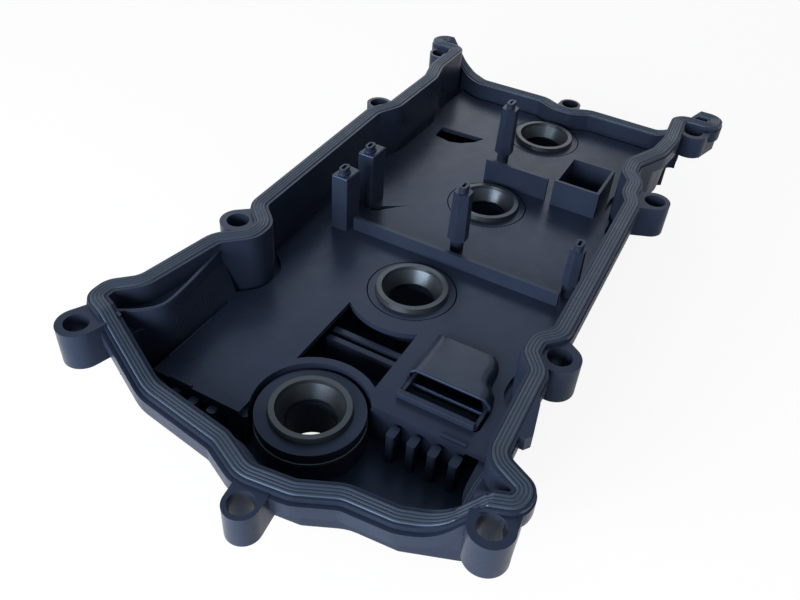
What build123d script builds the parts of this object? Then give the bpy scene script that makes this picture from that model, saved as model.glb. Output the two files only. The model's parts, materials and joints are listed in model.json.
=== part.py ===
from build123d import *
import os

# Valve cover of a four-cylinder engine, lying on its outer side with its open side up.
# Lengths are in millimetres. X runs along the row of plug wells, Y across the cover and
# Z up, out of the open side. The pieces are built with zero on the axis of the first
# well, at the top of the baffle plate. At the end they all move together, so that the
# origin is the middle of the footprint, on the plane that the cover rests on.

# Row of plug wells
well_count = 4
well_pitch = 96.0
well_bore_r = 13.0
well_boss_r = 23.3
first_well_r = 25.5
first_well_top = -2.4
other_well_top = 0.0
row_length = well_pitch * (well_count - 1)

# Heights of the flange, measured up from the top of the baffle plate
flange_high = 31.0
flange_near_low = 12.0
flange_far_low = 11.0
plate_thickness = 3.0
floor_depth = 22.0
roof_thickness = 3.0
tower_height = 8.0
floor_z = -floor_depth
roof_z = floor_z - roof_thickness
rest_z = roof_z - tower_height
shelf_z = -plate_thickness
step_z = shelf_z - 3.5

# Section of the flange, as distances from the middle of the gasket
rim_half = 4.4
groove_half = 3.4
groove_depth = 4.0
gasket_proud = 1.0
strip_drop = 0.7
bead_half = 1.0
ledge_width = 5.0
near_ledge_width = 6.6
near_ledge_x = -24.0
near_ledge_y = (-97.0, 97.0)
ledge_drop = 3.4
skirt_drop = 10.6
wall_outside = 0.5
cavity_at_top = 4.8
plate_inset = 8.0
lower_outside = 7.4
lower_cavity = 11.0
pocket_outside = 14.0
pocket_cavity = 17.0

# Middle line of the gasket along the sides and ends
side_left = 86.4
side_left_far = 81.6
side_right = -83.6
side_right_far = -80.6
end_near = -38.6
end_far = 322.0
ear_left_y = 103.5
ear_right_y = -101.5
ear_near_x = -16.5
ear_far_left_x = 322.5
ear_far_right_x = 312.6
ear_far_width = 12.5
ear_bottom = 14.0
ear_floor = 2.5
ear_wall = 2.0

# Ramps, each from its crease at the high level down to the low level
ramp_near_left_y = 93.3
ramp_near_left_run = 33.0
ramp_near_right_y = -94.4
ramp_near_right_run = 15.0
ramp_far_left_y = 96.6
ramp_far_right_y = -90.1
ramp_far_run = 16.0
ramp_round = 18.0

# Bolts that hold the cover down
bolt_r = 5.8
bolt_boss_r = 9.4
slim_boss_r = 8.0
bolt_web_r = 8.0
bolt_drop = 3.0
bolt_boss_height = 18.5
ear_boss_height = 14.0
bolt_near_left = (-33.5, 99.4)
bolt_left_front = (66.2, 88.3)
bolt_left_back = (219.5, 92.4)
bolt_far_left = (311.5, 94.6)
bolt_far_middle = (331.8, -1.9)
bolt_far_right = (303.0, -92.0)
bolt_right_back = (208.6, -92.6)
bolt_right_front = (61.2, -90.4)
bolt_near_right = (-33.5, -99.7)
bolt_near_middle = (-61.3, -9.0)
tab_points = ((33.0, -88.0), (33.0, -91.8), (28.5, -93.6), (11.5, -97.2), (8.5, -95.2), (8.5, -88.0))
tab_height = 8.0

# Baffle plate, welded on the shelf inside the cover
plate_left = 77.8
plate_near_left = 74.2
plate_step_x = 38.0
plate_near_left_x = -19.0
plate_corner_y = 25.2
plate_near_right_x = 15.0
plate_cut_y = 22.0
plate_cut_r = 27.5
plate_hole_r = 24.0
chamber_wall = 2.5

# Window in the plate between the first two wells, and the ribs below it
window_y = (-18.6, 22.6)
window_near_r = 31.5
window_far_r = 34.0
window_rib_x = (49.5, 56.0)
window_rib = 3.0
window_rib_drop = 7.0

# Rail, wall and open box that stand on the plate
rail_x = 126.5
rail_y = (-70.0, 54.0)
rail_height = 8.1
rail_thickness = 2.2
fence_x = 217.2
fence_y = (-28.0, 13.0)
fence_height = 15.0
fence_thickness = 2.2
box_x = (214.0, 246.5)
box_y = (-60.5, -32.5)
box_height = 17.0
box_wall = 1.8

# Drain posts, each with its place and its height
nozzle_height = 4.0
nozzle_size = (7.0, 4.4)
nozzle_slot = (4.6, 1.6)
post_a = (126.0, 61.0, 31.0)
post_b = (154.5, 61.0, 32.0)
post_c = (141.5, -4.0, 42.5)
post_d = (242.9, 11.7, 43.0)
post_e = (138.5, -71.5, 34.0)
post_r = 6.0
slim_post_r = 3.8
post_foot_height = 8.0
post_taper = 1.2

# Slot, notch and small hole in the far part of the plate
slot_points = ((249.0, 64.0), (262.0, 65.0), (263.5, 34.0), (256.0, 37.5), (249.0, 45.0), (246.5, 52.0))
notch_points = ((147.0, 56.0), (152.0, 56.0), (164.0, 39.0), (159.0, 44.0), (150.0, 51.5))
small_hole = (269.4, 7.0)
small_hole_r = 1.5

# Louvred inlet of the oil separator
hood_points = (
    (26.5, -30.0, 1.0),
    (72.5, -30.0, 1.0),
    (72.5, -57.0, 1.0),
    (63.0, -61.5, 4.0),
    (50.0, -64.0, 6.0),
    (40.0, -69.5, 5.0),
    (26.5, -69.5, 2.0),
)
hood_x = (26.5, 72.5)
hood_y = (-69.5, -30.0)
hood_mouth_x = 45.0
hood_rise = 2.0
hood_depth = 6.0
hood_wall = 1.8
hood_gap = 1.2
hood_lip = 3.4
hood_tongue = 5.0
slat_count = 3
slat_thickness = 1.4
slat_width = 7.0
slat_tilt = 35.0
slat_drop = 3.0

# Combs that stand under the near edge of the plate
comb_y_first = -37.0
comb_pitch = 10.3
comb_count = 4
comb_size = (7.0, 4.4)
comb_x = 10.0
comb_drop = 4.0
small_comb_y = (38.5, 49.0, 59.5)
small_comb_x = -21.5

# Seals of the plug tubes
carrier_height = 6.0
carrier_bore_r = 19.6
seal_clearance = 0.15
seal_proud = 3.0
seal_rim_r = 16.2
seal_lip_r = 12.2
seal_depth = 8.5
spring_r = 0.9
spring_seat_r = 15.2

# Outer side of the cover
tower_wall = 5.0
coil_boss_offset = 29.0
coil_boss_r = 6.5
insert_r = 4.2
insert_bore_r = 2.6
insert_length = 12.0
filler_x = 25.0
filler_y = 51.0
filler_bore_r = 17.0
filler_wall = 4.5
nozzle_x = 256.0
nozzle_z = -13.0
nozzle_root = 72.0
hose_r = 7.0
hose_bore_r = 4.8
hose_reach = 24.0
hose_bead = 0.8
roof_rib_y = 40.0
roof_rib_height = 3.5
roof_rib_thickness = 2.5

fit_gap = 0.3
cut_margin = 5.0
plan_margin = 60.0


def rounded(points):
    """Face inside a closed outline of (x, y, corner radius)."""
    corners = [(x, y) for x, y, _ in points]
    radii = [radius for _, _, radius in points]
    return make_face(FilletPolyline(*corners, radius=radii, close=True))


def grown(face, amount):
    """The face, larger by the amount, or smaller where the amount is negative."""
    return offset(face, amount=amount, kind=Kind.ARC)


def band(face, outside, inside):
    """Ring that follows the edge of a face, from one distance to the other."""
    return grown(face, outside) - grown(face, -inside)


def prism(face, low, high):
    """Upright solid over a face, from the low height to the high one."""
    return extrude(Pos(0, 0, low) * face, amount=high - low, dir=(0, 0, 1))


def block(x_range, y_range, z_range):
    """Box between two corners."""
    size = [high - low for low, high in (x_range, y_range, z_range)]
    middle = [(high + low) / 2 for low, high in (x_range, y_range, z_range)]
    return Pos(*middle) * Box(*size)


def rod(radius, low, high, place=(0.0, 0.0)):
    """Upright cylinder."""
    return Pos(place[0], place[1], (low + high) / 2) * Cylinder(radius, high - low)


def side_bulge(bolt, side, depth, lead, radius, tail=0.0):
    """Corners where the gasket runs round the inside of a bolt on a long side."""
    x, y = bolt
    inward = -1.0 if y > 0 else 1.0
    apex = y + inward * depth
    return [
        (x - lead, side, radius),
        (x - lead * 0.36, apex, radius * 0.8),
        (x + lead * 0.16 + tail, apex, radius * 0.8),
        (x + lead * 0.72 + tail, side, radius),
    ]


def gasket_line():
    """Face inside the middle line of the gasket."""
    ear_left_end = ear_far_left_x + ear_far_width
    ear_right_end = ear_far_right_x + ear_far_width + 1.0
    near_left = [
        (end_near + 4.1, 60.0, 25.0),
        (ear_near_x - 1.5, ear_left_y, 5.5),
        (ear_near_x + 8.0, ear_left_y, 6.5),
        (2.0, side_left + 7.0, 14.0),
    ]
    left = side_bulge(bolt_left_front, side_left, 14.6, 20.0, 11.0)
    left += [
        (205.5, side_left + 2.2, 14.0),
        (221.0, side_left_far, 14.0),
        (270.0, side_left_far - 0.6, 16.0),
        (288.0, side_left - 0.8, 16.0),
    ]
    far_left = [
        (ear_far_left_x, side_left - 0.8, 5.5),
        (ear_far_left_x + 1.0, ear_left_y, 5.5),
        (ear_left_end, ear_left_y, 5.5),
        (ear_left_end - 2.4, 82.0, 12.0),
        (end_far + 0.6, 64.0, 14.0),
    ]
    far = [
        (end_far + 1.5, bolt_far_middle[1] + 17.5, 12.0),
        (bolt_far_middle[0] - 14.4, bolt_far_middle[1] + 5.0, 9.0),
        (bolt_far_middle[0] - 14.4, bolt_far_middle[1] - 5.0, 9.0),
        (end_far + 1.5, bolt_far_middle[1] - 17.5, 12.0),
    ]
    far_right = [
        (end_far + 0.8, -66.0, 14.0),
        (ear_right_end, -78.0, 12.0),
        (ear_right_end, ear_right_y, 5.5),
        (ear_far_right_x, ear_right_y, 5.5),
        (ear_far_right_x, side_right_far, 5.5),
    ]
    right = [
        (280.0, side_right + 0.8, 20.0),
        (262.0, side_right_far, 16.0),
        (241.0, side_right_far + 9.8, 12.0),
        (228.5, side_right_far + 9.2, 9.0),
        (219.0, side_right + 5.6, 9.0),
        (206.0, side_right + 5.0, 9.0),
        (197.0, side_right + 0.6, 10.0),
    ]
    bulge = side_bulge(bolt_right_front, side_right - 2.6, 12.0, 15.0, 9.0, tail=2.0)
    right += bulge[::-1]
    near_right = [
        (-5.0, side_right - 5.0, 10.0),
        (ear_near_x + 3.0, ear_right_y - 3.5, 5.0),
        (ear_near_x - 4.6, ear_right_y - 2.5, 5.0),
        (end_near + 2.4, -64.0, 12.0),
    ]
    near = [
        (end_near + 0.6, -41.0, 15.0),
        (end_near - 8.0, bolt_near_middle[1] - 14.0, 14.0),
        (end_near - 10.8, bolt_near_middle[1] + 8.0, 15.0),
        (end_near - 2.4, bolt_near_middle[1] + 26.0, 14.0),
    ]
    return rounded(near_left + left + far_left + far + far_right + right + near_right + near)


def end_profile(low, left_y, left_run, right_y, right_run):
    """Section across an end under the gasket's top: high corners and a low middle."""
    reach = plan_margin + abs(ear_left_y)
    line = FilletPolyline(
        (0, -reach, flange_high),
        (0, right_y, flange_high),
        (0, right_y + right_run, low),
        (0, left_y - left_run, low),
        (0, left_y, flange_high),
        (0, reach, flange_high),
        radius=(0, ramp_round, ramp_round, 0),
    )
    bottom = Polyline(
        line @ 1,
        (0, reach, rest_z - cut_margin),
        (0, -reach, rest_z - cut_margin),
        line @ 0,
    )
    return make_face(Curve() + line + bottom)


def under_gasket(drop):
    """Everything that lies lower than the gasket's top by the drop or more."""
    near_x = ear_near_x + 4.0
    far_x = ear_far_right_x - 7.0
    left_split = ear_far_left_x + 4.5
    right_split = ear_far_right_x + 6.7
    base = rest_z - cut_margin
    reach = plan_margin + abs(ear_left_y)
    near = end_profile(
        flange_near_low, ramp_near_left_y, ramp_near_left_run, ramp_near_right_y, ramp_near_right_run
    )
    far = end_profile(flange_far_low, ramp_far_left_y, ramp_far_run, ramp_far_right_y, ramp_far_run)
    near_end = extrude(Pos(near_x - plan_margin - cut_margin * 4, 0, 0) * near,
                       amount=plan_margin + cut_margin * 4, dir=(1, 0, 0))
    far_end = extrude(Pos(far_x, 0, 0) * far, amount=plan_margin, dir=(1, 0, 0))
    middle = block((near_x, far_x), (-reach, reach), (base, flange_high))
    left_corner = make_face(Polyline(
        (far_x, side_left - 8.0),
        (left_split - 2.4, side_left - 8.0),
        (left_split, side_left - 3.0),
        (left_split + 0.9, side_left + 3.0),
        (left_split + 0.9, reach),
        (far_x, reach),
        close=True,
    ))
    left_corner = prism(left_corner, base, flange_high)
    right_corner = block((far_x, right_split), (-reach, side_right_far + 6.5), (base, flange_high))
    return Pos(0, 0, -drop) * (near_end + middle + far_end + left_corner + right_corner)


def bolt_places():
    """Each bolt with the height of its boss's top, and the boss's radius and length."""
    high = flange_high - bolt_drop
    near_low = flange_near_low - bolt_drop
    far_low = flange_far_low - bolt_drop
    return [
        (bolt_near_left, high, bolt_boss_r, bolt_boss_height + 1.0),
        (bolt_left_front, high, bolt_boss_r, bolt_boss_height),
        (bolt_left_back, high, slim_boss_r, bolt_boss_height),
        (bolt_far_left, high, slim_boss_r - 0.6, ear_boss_height),
        (bolt_far_middle, far_low, slim_boss_r - 0.6, bolt_boss_height),
        (bolt_far_right, high, bolt_boss_r, ear_boss_height),
        (bolt_right_back, high, slim_boss_r + 0.6, bolt_boss_height),
        (bolt_right_front, high, bolt_boss_r + 0.5, bolt_boss_height),
        (bolt_near_right, high, bolt_boss_r, bolt_boss_height),
        (bolt_near_middle, near_low, slim_boss_r, bolt_boss_height - 1.0),
    ]


def bolt_boss(place, top, radius, height, wire):
    """Boss of one bolt, with the web that joins it to the flange."""
    x, y = place
    anchor = wire.closest_points(Vertex(x, y, 0))[0]
    circles = Pos(x, y) * Circle(radius) + Pos(anchor.X, anchor.Y) * Circle(bolt_web_r)
    outline = make_hull(circles.edges())
    return prism(outline, top - height, top)


def near_pocket():
    """Plan of the part of the cover's inside that the plate leaves open at the near end."""
    far_off = plan_margin * 2
    y_low = -plate_cut_y
    left = block((-far_off, plate_near_left_x), (-far_off, far_off), (-far_off, far_off))
    middle = block((-far_off, 0), (y_low, plate_corner_y), (-far_off, far_off))
    right = block((-far_off, plate_near_right_x), (-far_off * 2, y_low), (-far_off, far_off))
    return left + middle + right + rod(plate_cut_r, -far_off, far_off)


def well_top(number):
    """Height of the ring round a well."""
    return first_well_top if number == 0 else other_well_top


def well_radius(number):
    """Outer radius of the ring round a well."""
    return first_well_r if number == 0 else well_boss_r


def below_ears(top):
    """Space below the four ears of the flange, outside the walls of the cover."""
    base = rest_z - cut_margin
    reach = plan_margin * 2
    near_x = (-plan_margin, ear_near_x + 14.0)
    far_left_x = (ear_far_left_x - 4.0, end_far + plan_margin)
    far_right_x = (ear_far_right_x + 1.0, end_far + plan_margin)
    space = block(near_x, (side_left + ear_wall, reach), (base, top))
    space += block(near_x, (-reach, side_right - ear_wall - 4.0), (base, top))
    space += block(far_left_x, (side_left + ear_wall, reach), (base, top))
    return space + block(far_right_x, (-reach, side_right - ear_wall), (base, top))


def tray(line, under, pocket):
    """Walls, flange and roof of the cover, with the inside and the groove cut out."""
    wire = line.faces()[0].outer_wire()
    reach = flange_high + cut_margin
    shell = prism(grown(line, -wall_outside), step_z, reach) & under["rim"]
    shell += (prism(grown(line, rim_half), step_z, reach) & under["rim"]) - under["skirt"]
    shell += (prism(grown(line, ledge_width), step_z, reach) & under["ledge"]) - under["skirt"]
    near_end = block((-plan_margin * 2, near_ledge_x), near_ledge_y, (step_z, reach))
    shell += (prism(grown(line, near_ledge_width), step_z, reach) & under["ledge"] & near_end) - under["skirt"]
    shell -= below_ears(ear_bottom)
    for place, top, radius, height in bolt_places():
        shell += bolt_boss(place, top, radius, height, wire)
    tab = make_face(Polyline(*tab_points, close=True))
    shell += prism(tab, flange_high - tab_height, flange_high - gasket_proud)
    lower = prism(grown(line, -lower_outside), roof_z, step_z + 1)
    shell += lower + (prism(grown(line, -pocket_outside), roof_z, step_z + 1) & pocket)
    shell -= prism(grown(line, -cavity_at_top), shelf_z, reach) - below_ears(ear_bottom + ear_floor)
    shell -= prism(grown(line, -lower_cavity), floor_z, shelf_z)
    shell -= prism(grown(line, -pocket_cavity), floor_z, shelf_z) & pocket
    shell -= prism(band(line, groove_half, groove_half), step_z, reach) - under["groove"]
    for place, *_ in bolt_places():
        shell -= rod(bolt_r, step_z - bolt_boss_height, reach, place)
    return shell


def wells(shell):
    """The cover with its plug wells, their seats and the towers on the outer side."""
    for number in range(well_count):
        place = (number * well_pitch, 0.0)
        top = well_top(number) - carrier_height
        shell -= rod(plate_hole_r, top, cut_margin, place)
        shell += rod(well_radius(number), roof_z, top, place)
        shell += rod(well_bore_r + tower_wall, rest_z, roof_z + 1, place)
        boss = (place[0], coil_boss_offset)
        shell += rod(coil_boss_r, rest_z, rest_z + insert_length + cut_margin, boss)
        shell -= rod(carrier_bore_r, well_top(number) - seal_depth, top + 1, place)
        shell -= rod(well_bore_r, rest_z - 1, top, place)
        shell -= rod(insert_r + fit_gap, rest_z - 1, rest_z + insert_length, boss)
    return shell


def inside_features(shell, pocket):
    """The cover with the combs, the chamber walls and the ribs under the window."""
    for number in range(comb_count):
        y = comb_y_first - number * comb_pitch
        comb = Pos(comb_x, y) * RectangleRounded(comb_size[0], comb_size[1], comb_size[1] * 0.3)
        shell += prism(comb, floor_z - 1, -comb_drop)
    for y in small_comb_y:
        comb = Pos(small_comb_x, y) * RectangleRounded(comb_size[1], comb_size[1], comb_size[1] * 0.3)
        shell += prism(comb, floor_z - 1, -comb_drop)
    x_low = plate_near_right_x + fit_gap
    shell += block((x_low, x_low + chamber_wall), (side_right + 14, -plate_cut_y), (floor_z - 1, shelf_z))
    x_low = plate_near_left_x + fit_gap
    shell += block((x_low, x_low + chamber_wall), (plate_corner_y, side_left - 14), (floor_z - 1, shelf_z))
    for x in window_rib_x:
        rib = Pos(x, (window_y[0] + window_y[1]) / 2) * Rectangle(window_rib, window_y[1] - window_y[0])
        shell += prism(rib, floor_z - 1, -window_rib_drop)
    return shell


def outside_features(shell):
    """The cover with its oil filler neck, its hose nozzle and the ribs on the roof."""
    filler = (filler_x, filler_y)
    shell += rod(filler_bore_r + filler_wall, rest_z, roof_z + 1, filler)
    for y in (-roof_rib_y, 0.0, roof_rib_y):
        rib = block((0, row_length), (y - roof_rib_thickness / 2, y + roof_rib_thickness / 2),
                    (roof_z - roof_rib_height, roof_z + 1))
        shell += rib
    shell -= rod(filler_bore_r, rest_z - 1, floor_z + 1, filler)
    for number in range(well_count):
        shell -= rod(well_bore_r, rest_z - 1, floor_z, (number * well_pitch, 0.0))
    hose_end = nozzle_root + hose_reach
    nozzle = Rot(90, 0, 0) * Cylinder(hose_r, hose_end - nozzle_root + cut_margin)
    nozzle = Pos(nozzle_x, (hose_end + nozzle_root - cut_margin) / 2, nozzle_z) * nozzle
    bead = Rot(90, 0, 0) * Cylinder(hose_r + hose_bead, hose_bead * 4)
    bead = Pos(nozzle_x, hose_end - hose_bead * 5, nozzle_z) * bead
    bore = Rot(90, 0, 0) * Cylinder(hose_bore_r, hose_reach + cut_margin * 4)
    bore = Pos(nozzle_x, nozzle_root + hose_reach / 2, nozzle_z) * bore
    return shell + nozzle + bead - bore


def perimeter_gasket(line, under):
    """Rubber gasket in the groove of the flange."""
    half = groove_half - fit_gap / 2
    strip = prism(band(line, half, half), step_z, flange_high) & under["strip"]
    strip += prism(band(line, bead_half, bead_half), step_z, flange_high) & under["gasket"]
    return strip - under["groove"]


def post(place, radius, height, foot_radius):
    """Hollow drain post on the plate, with a narrow foot and a slotted nozzle on top."""
    x, y = place
    body = RegularPolygon(radius, 6)
    shaft = extrude(body, amount=height - nozzle_height - post_foot_height, taper=post_taper)
    shaft = Pos(x, y, post_foot_height) * shaft
    foot = rod(foot_radius, -1, post_foot_height, place)
    nozzle = Pos(x, y) * RectangleRounded(nozzle_size[0], nozzle_size[1], nozzle_size[1] * 0.4)
    column = shaft + foot + prism(nozzle, post_foot_height, height)
    return column


def post_slot(place, height):
    """Drain passage through a post and the plate below it."""
    x, y = place
    return prism(Pos(x, y) * Rectangle(*nozzle_slot), -plate_thickness - 1, height + 1)


def baffle_plate(line, pocket):
    """Plate inside the cover, with everything that stands on it in one moulding."""
    z_low = -plate_thickness
    plate = prism(grown(line, -plate_inset), z_low, 0)
    plate &= block((-plan_margin, end_far), (-plan_margin * 2, plate_left), (z_low, 0))
    plate -= pocket
    plate -= block((-plan_margin, plate_step_x), (plate_near_left, plan_margin * 2), (z_low - 1, 1))
    for number in range(1, well_count):
        plate -= rod(plate_hole_r, z_low - 1, 1, (number * well_pitch, 0.0))
    window = block((0, well_pitch), window_y, (z_low - 1, 1))
    window -= rod(window_near_r, z_low - 1, 1)
    window -= rod(window_far_r, z_low - 1, 1, (well_pitch, 0.0))
    plate -= window
    plate -= prism(make_face(Polyline(*slot_points, close=True)), z_low - 1, 1)
    plate -= prism(make_face(Polyline(*notch_points, close=True)), z_low - 1, 1)
    plate -= prism(grown(hood_outline(), hood_gap), z_low - 1, 1)
    half = rail_thickness / 2
    plate += block((rail_x - half, rail_x + half), rail_y, (z_low, rail_height))
    half = fence_thickness / 2
    plate += block((fence_x - half, fence_x + half), fence_y, (z_low, fence_height))
    well = block(box_x, box_y, (z_low, box_height))
    hollow = block((box_x[0] + box_wall, box_x[1] - box_wall), (box_y[0] + box_wall, box_y[1] - box_wall),
                   (z_low - 1, box_height + 1))
    plate = plate + well - hollow
    for place in (post_c, post_d):
        plate += post(place[:2], post_r, place[2], slim_post_r)
    for place in (post_a, post_b, post_e):
        plate += post(place[:2], post_r * 0.8, place[2], slim_post_r)
    for place in (post_a, post_b, post_c, post_d, post_e):
        plate -= post_slot(place[:2], place[2])
    plate -= rod(small_hole_r, z_low - 1, 1, small_hole)
    return plate


def hood_outline():
    """Plan of the louvred inlet that sits in the plate."""
    return rounded(hood_points)


def separator_hood():
    """Louvred inlet of the oil separator: a lip, slats and a low roof."""
    plan = hood_outline()
    z_low = -plate_thickness
    body = prism(plan, z_low - hood_depth, hood_rise)
    inner = grown(plan, -hood_wall)
    body -= prism(inner, z_low - hood_depth - 1, hood_rise - hood_wall)
    mouth = block((hood_x[0] + hood_wall, hood_mouth_x), (hood_y[0] + hood_wall, hood_y[1] - hood_wall),
                  (z_low - hood_depth - 1, hood_rise + 1))
    body -= mouth & prism(inner, z_low - hood_depth - 1, hood_rise + 1)
    span = hood_y[1] - hood_y[0] - hood_wall
    pitch = (hood_mouth_x - hood_x[0]) / (slat_count + 1)
    for number in range(slat_count):
        slat = Rot(0, slat_tilt, 0) * Box(slat_width, span, slat_thickness)
        body += Pos(hood_x[0] + pitch * (number + 1), sum(hood_y) / 2, -slat_drop) * slat
    body += block((hood_x[0], hood_x[0] + hood_wall), (hood_y[0] + 4, hood_y[1]), (z_low, hood_lip))
    for x, reach in ((hood_x[0], -hood_tongue), (hood_x[1], hood_tongue)):
        ends = sorted((x - reach / 4, x + reach))
        body += block(ends, (hood_y[0] + 12, hood_y[1] - 6), (z_low - hood_wall, z_low))
    return body


def turned(points):
    """Solid of revolution about the upright axis from (radius, height) corners."""
    return revolve(make_face(Polyline(*[(r, 0, z) for r, z in points], close=True)), Axis.Z)


def seal_carrier(number):
    """Ring welded on a well, which holds the seal."""
    top = well_top(number)
    radius = well_radius(number)
    ring = rod(radius, top - carrier_height, top)
    ring -= rod(carrier_bore_r, top - carrier_height - 1, top + 1)
    return Pos(number * well_pitch, 0, 0) * ring


def tube_seal(number):
    """Rubber seal of a plug tube, with a lip that points down into the well."""
    outer = carrier_bore_r - seal_clearance
    base = -seal_depth
    seat = base + 3.2
    seal = turned([
        (outer, base),
        (outer, 0.6),
        (outer - 0.6, seal_proud),
        (seal_rim_r, seal_proud),
        (seal_rim_r - 0.5, seal_proud - 1.8),
        (seal_lip_r, seat - 0.2),
        (seal_lip_r, seat - 1.2),
        (seal_lip_r + 1.6, base + 0.6),
        (spring_seat_r - 0.6, base + 0.6),
        (spring_seat_r + 0.2, seat + 1.4),
        (outer - 1.8, seat + 1.4),
        (outer - 1.8, base),
    ])
    seal -= Pos(0, 0, base + 2.2) * Torus(spring_seat_r, spring_r + 0.05)
    return Pos(number * well_pitch, 0, well_top(number)) * seal


def garter_spring(number):
    """Round spring in the back of a seal's lip."""
    spring = Torus(spring_seat_r, spring_r)
    return Pos(number * well_pitch, 0, well_top(number) - seal_depth + 2.2) * spring


def coil_insert(number):
    """Threaded brass insert in the boss beside a well."""
    insert = rod(insert_r, rest_z, rest_z + insert_length)
    insert -= rod(insert_bore_r, rest_z - 1, rest_z + insert_length + 1)
    return Pos(number * well_pitch, coil_boss_offset, 0) * insert


def build():
    line = gasket_line()
    pocket = near_pocket()
    under = {
        "gasket": under_gasket(0.0),
        "strip": under_gasket(strip_drop),
        "rim": under_gasket(gasket_proud),
        "ledge": under_gasket(ledge_drop),
        "groove": under_gasket(groove_depth),
        "skirt": under_gasket(skirt_drop),
    }
    shell = tray(line, under, pocket)
    shell = wells(shell)
    shell = inside_features(shell, pocket)
    shell = outside_features(shell)
    pieces = {
        "cover_shell": shell,
        "baffle_plate": baffle_plate(line, pocket),
        "separator_hood": separator_hood(),
        "perimeter_gasket": perimeter_gasket(line, under),
    }
    for number in range(well_count):
        pieces[f"seal_carrier_{number + 1}"] = seal_carrier(number)
        pieces[f"tube_seal_{number + 1}"] = tube_seal(number)
        pieces[f"garter_spring_{number + 1}"] = garter_spring(number)
        pieces[f"coil_insert_{number + 1}"] = coil_insert(number)
    return pieces


os.makedirs("parts", exist_ok=True)
for name, piece in build().items():
    placed = Pos(0, 0, -rest_z) * piece
    solids = placed.solids()
    box = placed.bounding_box()
    print(name, len(solids), round(placed.volume), box.min, box.max)
    export_step(placed, f"parts/{name}.step")
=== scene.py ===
import json
import math
import random

import bmesh
import bpy
from mathutils import Matrix, Vector
from mathutils.bvhtree import BVHTree


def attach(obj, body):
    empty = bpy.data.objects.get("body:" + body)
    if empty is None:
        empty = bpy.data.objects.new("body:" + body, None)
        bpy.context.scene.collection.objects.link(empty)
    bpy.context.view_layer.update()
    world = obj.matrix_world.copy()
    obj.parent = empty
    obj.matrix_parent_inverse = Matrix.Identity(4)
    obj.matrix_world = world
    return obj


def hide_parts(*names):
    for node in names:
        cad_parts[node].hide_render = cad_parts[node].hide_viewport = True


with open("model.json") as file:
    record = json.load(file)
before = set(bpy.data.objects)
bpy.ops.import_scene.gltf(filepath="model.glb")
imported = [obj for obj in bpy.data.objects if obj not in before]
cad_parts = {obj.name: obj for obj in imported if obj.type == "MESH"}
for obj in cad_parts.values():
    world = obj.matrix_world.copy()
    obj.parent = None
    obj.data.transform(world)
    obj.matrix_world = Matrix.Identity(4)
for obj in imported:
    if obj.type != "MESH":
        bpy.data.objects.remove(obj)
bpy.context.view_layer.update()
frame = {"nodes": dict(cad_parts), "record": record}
nodes = frame["nodes"]

# Plans are in millimetres from the axis of the first well, and heights in millimetres over the plate
mm = 0.001
plate_top = 0.033

# Heights that several pieces share
chamber_floor = -22.3
ear_floor_low = 14.2
below_flange = 14.8


def at(x, y, z):
    """Point of the scene in metres."""
    return (x * mm, y * mm, z * mm + plate_top)


# Finishes


class Tree:
    """Small helper round the nodes of a material or of the world."""

    def __init__(self, tree):
        self.tree = tree

    def add(self, kind, **values):
        node = self.tree.nodes.new(kind)
        for key, value in values.items():
            setattr(node, key, value)
        return node

    def feed(self, source, socket):
        """Put a number, a colour or another node's output on a socket."""
        if isinstance(source, tuple):
            socket.default_value = (*source, 1.0)
        elif isinstance(source, float):
            socket.default_value = source
        else:
            self.tree.links.new(source, socket)

    def noise(self, place, scale, detail=2.0, rough=0.5):
        node = self.add("ShaderNodeTexNoise")
        self.feed(scale, node.inputs["Scale"])
        self.feed(detail, node.inputs["Detail"])
        self.feed(rough, node.inputs["Roughness"])
        self.feed(place, node.inputs["Vector"])
        return node.outputs["Fac"]

    def ramp(self, value, *stops):
        node = self.add("ShaderNodeValToRGB")
        for element, (position, shade) in zip(node.color_ramp.elements, stops):
            colour = shade if isinstance(shade, tuple) else (shade, shade, shade)
            element.position = position
            element.color = (*colour, 1.0)
        self.feed(value, node.inputs["Fac"])
        return node.outputs["Color"]

    def mix(self, factor, first, second):
        node = self.add("ShaderNodeMix", data_type="RGBA")
        first_colour, second_colour = node.inputs[6], node.inputs[7]
        self.feed(factor, node.inputs["Factor"])
        self.feed(first, first_colour)
        self.feed(second, second_colour)
        return node.outputs[2]

    def maths(self, operation, first, second):
        node = self.add("ShaderNodeMath", operation=operation)
        self.feed(first, node.inputs[0])
        self.feed(second, node.inputs[1])
        return node.outputs[0]

    def blend(self, share, first, second):
        node = self.add("ShaderNodeMixShader")
        self.feed(share, node.inputs[0])
        self.feed(first, node.inputs[1])
        self.feed(second, node.inputs[2])
        return node.outputs[0]


dust_colour = (0.20, 0.23, 0.27)
dust_scale = 2600.0
patch_scale = 60.0
cloud_scale = 28.0
smear_scale = 90.0
grain_strength = 0.35
wear_scale = 300.0
polish_scale = 700.0


def started(name):
    """New material, its tree, its shader and the place on the object."""
    material = bpy.data.materials.new(name)
    material.use_nodes = True
    t = Tree(material.node_tree)
    return material, t, t.tree.nodes["Principled BSDF"], t.add("ShaderNodeTexCoord").outputs["Object"]


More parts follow.
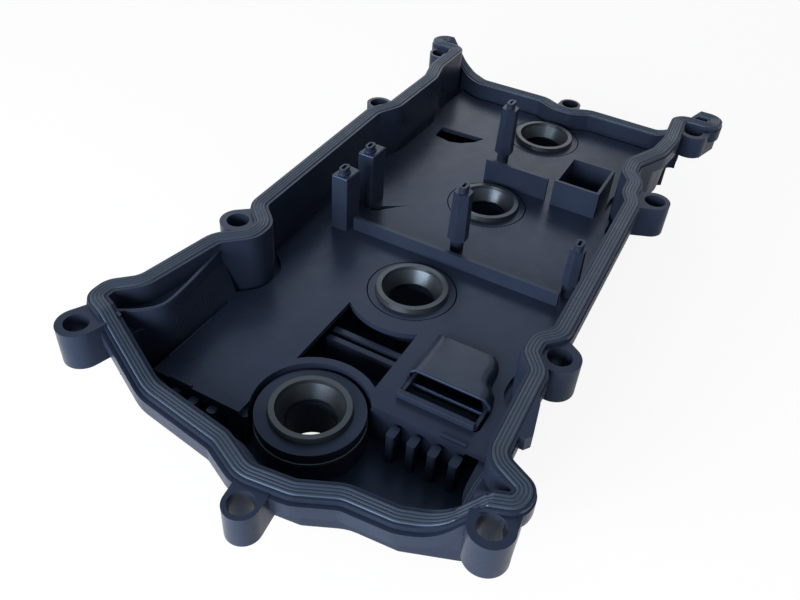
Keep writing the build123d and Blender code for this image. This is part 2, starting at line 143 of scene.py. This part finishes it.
def moulded(name, base, light, rough, tint, grain=0.00002, specks=0.6, ior=1.5, fine=1400.0):
    """Moulded surface: cloudy colour and gloss, a fine grain and a few specks of dust."""
    material, t, shader, place = started(name)
    tone = t.ramp(t.noise(place, cloud_scale, 4.0, 0.6), (0.3, base), (0.75, light))
    dust = t.ramp(t.noise(place, dust_scale, 1.0), (0.79 - specks * 0.04, 0.0), (0.84, 1.0))
    patches = t.ramp(t.noise(place, patch_scale, 3.0), (0.45, 0.0), (0.7, 0.6))
    flecks = t.maths("MULTIPLY", dust, patches)
    t.feed(t.mix(flecks, tone, dust_colour), shader.inputs["Base Color"])
    smear = t.noise(place, smear_scale, 5.0, 0.65)
    t.feed(t.ramp(smear, (0.3, rough[0]), (0.75, rough[1])), shader.inputs["Roughness"])
    bump = t.add("ShaderNodeBump")
    t.feed(grain_strength, bump.inputs["Strength"])
    t.feed(grain, bump.inputs["Distance"])
    t.feed(t.noise(place, fine, 3.0), bump.inputs["Height"])
    t.feed(bump.outputs["Normal"], shader.inputs["Normal"])
    shader.inputs["IOR"].default_value = ior
    shader.inputs["Specular Tint"].default_value = (*tint, 1.0)
    return material


def metal(name, colour, dark, rough):
    """Bare metal with a slightly uneven polish."""
    material, t, shader, place = started(name)
    wear = t.noise(place, wear_scale, 4.0)
    polish = t.noise(place, polish_scale, 3.0)
    t.feed(t.ramp(wear, (0.3, dark), (0.7, colour)), shader.inputs["Base Color"])
    t.feed(t.ramp(polish, (0.3, rough[0]), (0.7, rough[1])), shader.inputs["Roughness"])
    shader.inputs["Metallic"].default_value = 1.0
    return material


blue_shine = (0.34, 0.56, 1.0)
nylon = moulded("nylon", base=(0.0105, 0.0150, 0.0290), light=(0.0150, 0.0210, 0.0380),
                rough=(0.25, 0.36), tint=blue_shine, ior=1.31)
gasket = moulded("gasket", base=(0.014, 0.019, 0.028), light=(0.026, 0.033, 0.045),
                 rough=(0.40, 0.52), tint=blue_shine, grain=0.00003, specks=1.0)
seal = moulded("seal", base=(0.008, 0.010, 0.013), light=(0.018, 0.021, 0.024),
               rough=(0.28, 0.42), tint=(0.6, 0.78, 1.0), grain=0.00004, specks=1.3)
flash = moulded("flash", base=(0.012, 0.015, 0.021), light=(0.026, 0.031, 0.040),
                rough=(0.22, 0.34), tint=(0.6, 0.8, 1.0), grain=0.0003, specks=1.3, fine=900.0)
steel = metal("steel", colour=(0.52, 0.53, 0.55), dark=(0.38, 0.39, 0.41), rough=(0.25, 0.4))
brass = metal("brass", colour=(0.74, 0.55, 0.27), dark=(0.58, 0.41, 0.18), rough=(0.25, 0.4))

finishes = {
    "black_nylon": nylon,
    "gasket_rubber": gasket,
    "seal_rubber": seal,
    "spring_steel": steel,
    "brass": brass,
}
slot_of = {part["node"]: part["material_slot"] for part in frame["record"]["subparts"]}
for name, node in nodes.items():
    for material_slot in node.material_slots:
        material_slot.link = "OBJECT"
        material_slot.material = finishes[slot_of[name]]


# Helpers for new pieces


def piece(name, points, faces, material=nylon, smooth=True):
    """New piece of the object from points in metres."""
    mesh = bpy.data.meshes.new(name)
    mesh.from_pydata(points, [], faces)
    mesh.update()
    for polygon in mesh.polygons:
        polygon.use_smooth = smooth
    made = bpy.data.objects.new(name, mesh)
    bpy.context.scene.collection.objects.link(made)
    mesh.materials.append(material)
    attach(made, "root")
    return made


def grid_faces(rows, columns, rows_meet=False, columns_meet=False):
    """Faces over a grid of points given row by row, which may close on itself either way."""
    faces = []
    for row in range(rows if rows_meet else rows - 1):
        next_row = (row + 1) % rows
        for column in range(columns if columns_meet else columns - 1):
            next_column = (column + 1) % columns
            faces.append((row * columns + column, next_row * columns + column,
                          next_row * columns + next_column, row * columns + next_column))
    return faces


def soften(made, width):
    """Round the sharp edges of a piece."""
    soft = made.modifiers.new("soft_edges", "BEVEL")
    soft.width = width * mm
    soft.segments = 2
    soft.limit_method = "ANGLE"
    soft.angle_limit = math.radians(50)


def standing(name, plan, low, high, round_off=0.4):
    """Upright solid over a plan, between two heights."""
    count = len(plan)
    turn = sum(plan[n - 1][0] * plan[n][1] - plan[n][0] * plan[n - 1][1] for n in range(count))
    if turn < 0:
        plan = plan[::-1]
    points = [at(x, y, z) for z in (high, low) for x, y in plan]
    faces = grid_faces(2, count, columns_meet=True)
    faces.append(tuple(range(count)))
    faces.append(tuple(range(2 * count - 1, count - 1, -1)))
    made = piece(name, points, faces, smooth=False)
    if round_off:
        soften(made, round_off)


def bar(name, x_range, y_range, low, high, round_off=0.3):
    """Upright solid over a rectangle."""
    start_x, end_x = x_range
    start_y, end_y = y_range
    plan = [(start_x, start_y), (end_x, start_y), (end_x, end_y), (start_x, end_y)]
    standing(name, plan, low, high, round_off)


def curve_through(points, parts=8):
    """Smooth open line through points."""
    line = []
    ends = [2 * Vector(points[0]) - Vector(points[1])] + [Vector(p) for p in points]
    ends.append(2 * Vector(points[-1]) - Vector(points[-2]))
    for number in range(1, len(ends) - 2):
        a, b, c, d = ends[number - 1:number + 3]
        for part in range(parts):
            t = part / parts
            line.append(0.5 * (2 * b + (c - a) * t + (2 * a - 5 * b + 4 * c - d) * t ** 2
                               + (3 * b - a - 3 * c + d) * t ** 3))
    line.append(Vector(points[-1]))
    return line


def wall_plan(line, half):
    """Closed plan of a wall that runs along an open line, with half its thickness to each side."""
    left = []
    right = []
    for number, spot in enumerate(line):
        ahead = line[min(number + 1, len(line) - 1)] - line[max(number - 1, 0)]
        ahead.normalize()
        side = Vector((-ahead.y, ahead.x)) * half
        left.append(spot + side)
        right.append(spot - side)
    return left + right[::-1]


def rounded_box(middle, long, wide, radius, parts=5):
    """Plan of a rounded rectangle."""
    x, y = middle
    plan = []
    for corner, (a, b) in enumerate(((1, 1), (-1, 1), (-1, -1), (1, -1))):
        for part in range(parts + 1):
            turn = math.radians(90 * corner + 90 * part / parts)
            plan.append((x + a * (long / 2 - radius) + radius * math.cos(turn),
                         y + b * (wide / 2 - radius) + radius * math.sin(turn)))
    return plan


# Ribbed rubber gasket: corners of its middle line as x, y and radius
gasket_corners = [
    (-34.5, 60.0, 25.0), (-18.0, 103.5, 5.5), (-8.5, 103.5, 6.5), (2.0, 93.4, 14.0),
    (46.2, 86.4, 11.0), (59.0, 73.7, 8.8), (69.4, 73.7, 8.8), (80.6, 86.4, 11.0),
    (205.5, 88.6, 14.0), (221.0, 81.6, 14.0), (270.0, 81.0, 16.0), (288.0, 85.6, 16.0),
    (322.5, 85.6, 5.5), (323.5, 103.5, 5.5), (335.0, 103.5, 5.5), (332.6, 82.0, 12.0),
    (322.6, 64.0, 14.0), (323.5, 15.6, 12.0), (317.4, 3.1, 9.0), (317.4, -6.9, 9.0),
    (323.5, -19.4, 12.0), (322.8, -66.0, 14.0), (326.1, -78.0, 12.0), (326.1, -101.5, 5.5),
    (312.6, -101.5, 5.5), (312.6, -80.6, 5.5), (280.0, -82.8, 20.0), (262.0, -80.6, 16.0),
    (241.0, -70.8, 12.0), (228.5, -71.4, 9.0), (219.0, -78.0, 9.0), (206.0, -78.6, 9.0),
    (197.0, -83.0, 10.0), (74.0, -86.2, 9.0), (65.6, -78.4, 7.2), (55.8, -78.4, 7.2),
    (46.2, -86.2, 9.0), (-5.0, -88.6, 10.0), (-13.5, -105.0, 5.0), (-21.1, -104.0, 5.0),
    (-36.2, -64.0, 12.0), (-38.0, -41.0, 15.0), (-46.6, -23.0, 14.0), (-49.4, -1.0, 15.0),
    (-41.0, 17.0, 14.0),
]
strip_half = 3.2
strip_depth = 1.6
strip_sink = 0.15
strip_step = 0.9
rib_count = 4
rib_height = 0.55
points_per_rib = 6
probe_reach = 2.6
probe_start = 0.2
steep_step = 0.002


def between(start, end, step):
    """Points about one step apart in the gap between two points."""
    gap = end - start
    parts = int(gap.length / step)
    return [start + gap * part / (parts + 1) for part in range(1, parts + 1)]


def rounded_line(points, step):
    """Closed line through rounded corners, with points about one step apart."""
    line = []
    count = len(points)
    for number in range(count):
        x, y, radius = points[number]
        here = Vector((x, y))
        before = (Vector(points[number - 1][:2]) - here).normalized()
        after = (Vector(points[(number + 1) % count][:2]) - here).normalized()
        half = before.angle(after) / 2
        middle = here + (before + after).normalized() * radius / math.sin(half)
        start = here + before * radius / math.tan(half) - middle
        sweep = (math.pi - 2 * half) * (-1 if before.cross(after) > 0 else 1)
        parts = max(3, int(abs(sweep) * radius / step))
        arc = [middle + Matrix.Rotation(sweep * part / parts, 2) @ start for part in range(parts + 1)]
        if line:
            line += between(line[-1], arc[0], step)
        line += arc
    return line + between(line[-1], line[0], step)


def strip_section():
    """Offsets across the strip, and heights over the plain gasket."""
    count = rib_count * points_per_rib
    ridges = []
    for number in range(count + 1):
        share = number / count
        wave = abs(math.sin(share * rib_count * math.pi)) ** 0.8
        ridges.append((strip_half * (2 * share - 1), rib_height * wave - strip_sink))
    foot = -strip_depth - strip_sink
    return [(-strip_half, foot)] + ridges + [(strip_half, foot)]


def height_under(tree, spot):
    """Height in metres where a ray from above meets a mesh, or None where it misses."""
    hit = tree.ray_cast(Vector((spot.x * mm, spot.y * mm, probe_start)), Vector((0, 0, -1)))[0]
    return None if hit is None else hit.z


def ribbed_gasket():
    """Strip with fine ribs along it, laid on the top of the plain gasket."""
    plain = nodes["perimeter_gasket"].data
    tree = BVHTree.FromPolygons([v.co.copy() for v in plain.vertices],
                                [tuple(p.vertices) for p in plain.polygons])
    line = rounded_line(gasket_corners, strip_step)
    section = strip_section()
    points = []
    for number, middle in enumerate(line):
        ahead = line[(number + 1) % len(line)] - line[number - 1]
        ahead.normalize()
        side = Vector((-ahead.y, ahead.x))
        first = height_under(tree, middle - side * probe_reach)
        second = height_under(tree, middle + side * probe_reach)
        if first is None:
            first = second
        if second is None:
            second = first
        if abs(first - second) >= steep_step:
            first = second = (first + second) / 2
        for off, rise in section:
            spot = (middle + side * off) * mm
            share = (off + probe_reach) / (2 * probe_reach)
            points.append((spot.x, spot.y, first * (1 - share) + second * share + rise * mm))
    faces = grid_faces(len(line), len(section), rows_meet=True)
    made = piece("gasket_ribbed", points, faces, gasket)
    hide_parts("perimeter_gasket")


ribbed_gasket()

# Rough bead squeezed out of the weld under the ring of the first well
bead_radius = 25.6
bead_height = -9.0
bead_thick = 1.0
bead_wide = 0.6
bead_tall = 1.3


def weld_bead(name, seed, around=260, section=9):
    """Uneven ring, with a set number of points round it and round its section."""
    chance = random.Random(seed)
    points = []
    drift = 0.0
    for number in range(around):
        angle = 2 * math.pi * number / around
        drift = drift * 0.8 + chance.uniform(-0.25, 0.25)
        for part in range(section):
            turn = 2 * math.pi * part / section
            reach = bead_thick * (1 + 0.35 * drift) + chance.uniform(-0.12, 0.12)
            out = bead_radius + math.cos(turn) * reach * bead_wide
            points.append(at(out * math.cos(angle), out * math.sin(angle),
                             bead_height + math.sin(turn) * reach * bead_tall))
    piece(name, points, grid_faces(around, section, rows_meet=True, columns_meet=True), flash)


weld_bead("weld_bead_1", seed=4)

# Copy of the cover without the slivers that hang below three bolt ears
weld_distance = 0.000002
smallest_edge = 0.000001
sharp_angle = math.radians(28)
box_sides = ((0, 1, 3, 2), (4, 6, 7, 5), (0, 4, 5, 1), (2, 3, 7, 6), (0, 2, 6, 4), (1, 5, 7, 3))


def boxes_of(ranges):
    """Object of separate boxes, from their x, y and z ranges."""
    points = []
    faces = []
    for x, y, z in ranges:
        start = len(points)
        points += [at(a, b, c) for a in x for b in y for c in z]
        faces += [tuple(start + n for n in side) for side in box_sides]
    mesh = bpy.data.meshes.new("cutter")
    mesh.from_pydata(points, [], faces)
    return bpy.data.objects.new("cutter", mesh)


def trimmed(name, node_name, ranges):
    """Copy of a CAD node with boxes cut away, which stands for the node."""
    mesh = nodes[node_name].data.copy()
    made = bpy.data.objects.new(name, mesh)
    cutter = boxes_of(ranges)
    for thing in (made, cutter):
        bpy.context.scene.collection.objects.link(thing)
    shape = bmesh.new()
    shape.from_mesh(mesh)
    bmesh.ops.remove_doubles(shape, verts=shape.verts, dist=weld_distance)
    shape.to_mesh(mesh)
    shape.free()
    cut = made.modifiers.new("cut", "BOOLEAN")
    cut.operation = "DIFFERENCE"
    cut.solver = "EXACT"
    cut.object = cutter
    bpy.context.view_layer.update()
    done = bpy.data.meshes.new_from_object(made.evaluated_get(bpy.context.evaluated_depsgraph_get()))
    made.modifiers.clear()
    bpy.data.objects.remove(cutter)
    made.data = done
    shape = bmesh.new()
    shape.from_mesh(done)
    bmesh.ops.dissolve_degenerate(shape, edges=shape.edges, dist=smallest_edge)
    for edge in shape.edges:
        edge.smooth = len(edge.link_faces) == 2 and edge.calc_face_angle() < sharp_angle
    for face in shape.faces:
        face.smooth = True
        face.material_index = 0
    shape.to_mesh(done)
    shape.free()
    done.materials.clear()
    done.materials.append(finishes[slot_of[node_name]])
    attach(made, "root")
    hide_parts(node_name)


trimmed("cover_body", "cover_shell", [
    ((-45.0, -2.0), (88.5, 125.0), (-40.0, 2.0)),
    ((-45.0, -2.0), (-125.0, -89.7), (-40.0, 2.0)),
    ((300.0, 313.7), (-125.0, -86.4), (-40.0, 13.9)),
])

# Webs from the right bolt bosses to their ears, clear of the bolt holes
near_web = [(-33.5, -109.0), (-18.0, -107.2), (-16.0, -101.0), (-27.6, -100.0), (-28.6, -102.9),
            (-31.0, -105.2)]
far_web = [(303.0, -100.0), (321.0, -105.2), (322.0, -96.0), (309.2, -95.0), (307.6, -96.4),
           (304.4, -98.1)]
standing("ear_web_near_right", near_web, 9.6, 27.9, 0.5)
standing("ear_web_far_right", far_web, 11.0, 27.9, 0.5)

# Inside of the near left ear: the upper wall runs out to the bolt, and the lower one to the end wall
ear_wall_half = 1.0
shared_line = [(-10.5, 84.3), (-4.5, 79.2), (2.5, 77.7), (17.0, 78.8), (35.0, 81.2), (45.0, 82.9)]
upper_line = curve_through([(-19.5, 101.0), (-16.0, 92.0)] + shared_line)
lower_line = curve_through([(-27.0, 86.6), (-20.0, 86.8), (-14.5, 86.4)] + shared_line)
inner_part = [spot for spot in lower_line if spot.x > -13.0]
end_part = [spot for spot in lower_line if spot.x < -11.5]
floor_back = [(44.0, 85.3), (2.5, 90.4), (-8.5, 100.0), (-16.0, 100.8)]
shelf = [(-27.0, 86.4), (-14.5, 86.4), (-16.2, 92.6), (-19.6, 100.9), (-24.0, 99.4), (-27.0, 93.0)]
standing("ear_wall_near_left", wall_plan(upper_line, ear_wall_half), ear_floor_low, 26.0)
standing("low_wall_near_left", wall_plan(inner_part, ear_wall_half), chamber_floor, below_flange)
standing("end_wall_near_left", wall_plan(end_part, ear_wall_half), -4.0, below_flange)
standing("ear_floor_near_left", upper_line + floor_back, ear_floor_low, 19.5)
standing("ear_shelf_near_left", shelf, ear_floor_low, 16.5)

# Inside of the near right ear, and the gaps at the two far ears
right_line = curve_through([(-27.0, -86.4), (-21.0, -85.2), (-9.0, -85.2), (-0.5, -86.4)])
right_back = [(-6.5, -92.0), (-12.5, -102.0), (-20.5, -101.5), (-25.6, -89.0)]
standing("ear_wall_near_right", wall_plan(right_line, 1.3), -6.0, 16.2)
standing("ear_floor_near_right", right_line + right_back, ear_floor_low, 16.8)
bar("ear_wall_far_left", (324.0, 331.4), (84.8, 88.2), -6.0, 14.4, 0)
bar("ear_wall_far_right", (314.0, 323.6), (-85.4, -82.4), 5.0, 14.4, 0)

# Lower part of the left wall, which leans in to the edge of the plate
draft_top = 19.4
draft_foot = -2.2
draft_start = -4.5
least_lean = 0.8
plate_edge = 75.0
plate_edge_start = 2.5
edge_slope = 0.4


def wall_draft():
    line = [spot for spot in lower_line if spot.x > draft_start]
    points = []
    for spot in line:
        foot = min(spot.y - least_lean, plate_edge + max(0.0, plate_edge_start - spot.x) * edge_slope)
        points += [at(spot.x, spot.y, draft_top), at(spot.x, spot.y, draft_foot),
                   at(spot.x, foot, draft_foot), at(spot.x, spot.y - ear_wall_half, draft_top)]
    count = len(points)
    faces = grid_faces(len(line), 4, columns_meet=True)
    faces += [(0, 1, 2, 3), (count - 1, count - 2, count - 3, count - 4)]
    piece("wall_draft", points, faces, smooth=False)


wall_draft()

# Wall of the chamber, under the round edge of the plate
chamber_radius = 29.2
chamber_turns = [math.radians(-52 + 3 * number) for number in range(61)]
chamber_arc = [Vector((chamber_radius * math.cos(a), chamber_radius * math.sin(a))) for a in chamber_turns]
standing("chamber_wall", wall_plan(chamber_arc, 1.2), chamber_floor, -3.1, 0)

# Box posts with oval nozzles, round the first two drains: ovals as length, width and corner radius
post_foot = -0.5
post_top = 34.6
neck_foot = 34.0
neck_top = 36.0
nozzle_foot = 34.5
nozzle_top = 38.6
neck_oval = (8.4, 5.6, 2.6)
nozzle_oval = (7.2, 4.4, 2.1)
slot_oval = (4.8, 1.8, 0.85)
posts = {
    "post_a": ([(121.0, 66.3), (121.0, 56.2), (134.0, 55.4), (135.4, 65.0)], (126.4, 61.2)),
    "post_b": ([(149.4, 66.4), (149.4, 56.2), (163.6, 55.9), (164.0, 65.2)], (154.8, 61.4)),
}


def nozzle_on(name, middle, low, high):
    """Oval drain nozzle with a slot down its middle."""
    outer = rounded_box(middle, *nozzle_oval)
    inner = rounded_box(middle, *slot_oval)
    rings = ((inner, low), (inner, high), (outer, high), (outer, low))
    points = [at(x, y, z) for plan, z in rings for x, y in plan]
    faces = grid_faces(len(rings), len(outer), columns_meet=True)
    faces.append(tuple(range(len(outer))))
    soften(piece(name, points, faces, smooth=False), 0.25)


for name, (plan, middle) in posts.items():
    standing(name, plan, post_foot, post_top, 0.7)
    standing(name + "_neck", rounded_box(middle, *neck_oval), neck_foot, neck_top, 0.3)
    nozzle_on(name + "_nozzle", middle, nozzle_foot, nozzle_top)

# Low roof of the louvred inlet, which rises towards its mouth
mouth_x = 39.0
mouth_z = 5.8
back_x = 71.8
back_z = 0.8
roof_left = -29.2
roof_right = [(39.0, -69.2), (42.0, -68.9), (46.0, -68.0), (50.5, -64.6), (57.0, -63.0), (64.0, -62.4),
              (68.5, -60.5), (71.8, -57.5)]
rim_width = 3.2
rim_drop = 2.2
roof_thick = 1.3


def inlet_roof(across=14):
    points = []
    right_edge = curve_through(roof_right, 4)
    for spot in right_edge:
        share = min(1.0, max(0.0, (spot.x - mouth_x) / (back_x - mouth_x)))
        crest = back_z + (mouth_z - back_z) * (1 - share) ** 0.85
        points.append(at(spot.x, roof_left, 0.0))
        for number in range(across + 1):
            part = number / across
            to_rim = min(part, 1 - part) * abs(spot.y - roof_left)
            sunk = max(0.0, 1 - to_rim / rim_width) ** 2 * min(rim_drop, crest * 0.6)
            points.append(at(spot.x, roof_left + (spot.y - roof_left) * part, crest - sunk))
        points.append(at(spot.x, spot.y, 0.0))
    made = piece("inlet_roof", points, grid_faces(len(right_edge), across + 3))
    body = made.modifiers.new("thickness", "SOLIDIFY")
    body.thickness = roof_thick * mm
    body.offset = -1.0


inlet_roof()
bar("inlet_lip", (25.2, 28.2), (-68.6, -29.6), 0.0, 3.6, 0.5)

# Low bars along the edges of the plate
bar("plate_bar_1", (15.9, 17.3), (-69.8, -56.9), -0.2, 1.0)
bar("plate_bar_2", (-18.8, -17.4), (51.9, 64.7), -0.2, 1.0)
bar("plate_bar_3", (-8.8, 24.0), (72.9, 74.1), -0.2, 0.7)

# Pale floor, which glows for the camera and still keeps part of the shadow
floor_reach = 6.0
floor_drop = 0.0002
floor_glow = 0.9


def floor_of():
    mesh = bpy.data.meshes.new("floor")
    corners = [(-1, -1), (1, -1), (1, 1), (-1, 1)]
    mesh.from_pydata([(a * floor_reach, b * floor_reach, 0) for a, b in corners], [], [(0, 1, 2, 3)])
    made = bpy.data.objects.new("floor", mesh)
    bpy.context.scene.collection.objects.link(made)
    made.location.z = -floor_drop
    material, t, shader, place = started("floor")
    t.tree.nodes.remove(shader)
    diffuse = t.add("ShaderNodeBsdfDiffuse")
    t.feed(t.ramp(t.noise(place, 3.0), (0.3, 0.86), (0.7, 0.9)), diffuse.inputs["Color"])
    glow = t.add("ShaderNodeEmission")
    glow.inputs["Strength"].default_value = 1.0
    share = t.maths("MULTIPLY", t.add("ShaderNodeLightPath").outputs["Is Camera Ray"], floor_glow)
    both = t.blend(share, diffuse.outputs[0], glow.outputs[0])
    t.feed(both, t.tree.nodes["Material Output"].inputs["Surface"])
    mesh.materials.append(material)


floor_of()

# Two soft boxes, aimed at the middle of the cover
cover_middle = (0.14, 0.0, 0.03)


def lamp(name, place, size, power):
    light = bpy.data.lights.new(name, "AREA")
    light.shape = "RECTANGLE"
    light.size, light.size_y = size
    light.energy = power
    made = bpy.data.objects.new(name, light)
    made.location = place
    made.rotation_mode = "QUATERNION"
    made.rotation_quaternion = (Vector(cover_middle) - Vector(place)).to_track_quat("-Z", "Y")
    bpy.context.scene.collection.objects.link(made)


lamp("softbox_back", place=(1.25, 0.7, 0.85), size=(1.2, 0.8), power=3.6)
lamp("softbox_front", place=(-1.0, 0.2, 0.34), size=(1.0, 0.5), power=34.0)

# White for the camera, reflections and transmitted rays, and a soft cool light on everything else
ambient_colour = (0.93, 0.97, 1.0)
ambient_strength = 0.4


def studio():
    world = bpy.data.worlds.new("studio")
    bpy.context.scene.world = world
    world.use_nodes = True
    t = Tree(world.node_tree)
    ambient = t.tree.nodes["Background"]
    t.feed(ambient_colour, ambient.inputs["Color"])
    t.feed(ambient_strength, ambient.inputs["Strength"])
    white = t.add("ShaderNodeBackground")
    t.feed((1.0, 1.0, 1.0), white.inputs["Color"])
    t.feed(1.0, white.inputs["Strength"])
    rays = t.add("ShaderNodeLightPath").outputs
    seen = t.maths("MAXIMUM", rays["Is Camera Ray"], rays["Is Glossy Ray"])
    seen = t.maths("MAXIMUM", seen, rays["Is Transmission Ray"])
    either = t.blend(seen, ambient.outputs[0], white.outputs[0])
    t.feed(either, t.tree.nodes["World Output"].inputs["Surface"])


studio()

# Camera at the photograph's view
eye = (-0.200326, -0.137639, 0.307981)
yaw = math.radians(64.056)
pitch = math.radians(40.851)
roll = math.radians(-4.484)
focal_pixels = 809.54
frame_pixels = 800.0
film_width = 36.0


def camera_of():
    ahead = Vector((math.sin(yaw) * math.cos(pitch), math.cos(yaw) * math.cos(pitch), -math.sin(pitch)))
    level = Vector((math.cos(yaw), -math.sin(yaw), 0))
    below = ahead.cross(level)
    right = math.cos(roll) * level + math.sin(roll) * below
    down = -math.sin(roll) * level + math.cos(roll) * below
    lens = bpy.data.cameras.new("camera")
    lens.sensor_width = film_width
    lens.lens = focal_pixels * film_width / frame_pixels
    lens.clip_start = 0.01
    camera = bpy.data.objects.new("camera", lens)
    turn = Matrix((right, -down, -ahead)).transposed().to_4x4()
    camera.matrix_world = Matrix.Translation(eye) @ turn
    bpy.context.scene.collection.objects.link(camera)
    bpy.context.scene.camera = camera


camera_of()
bpy.context.scene.view_settings.view_transform = "Standard"
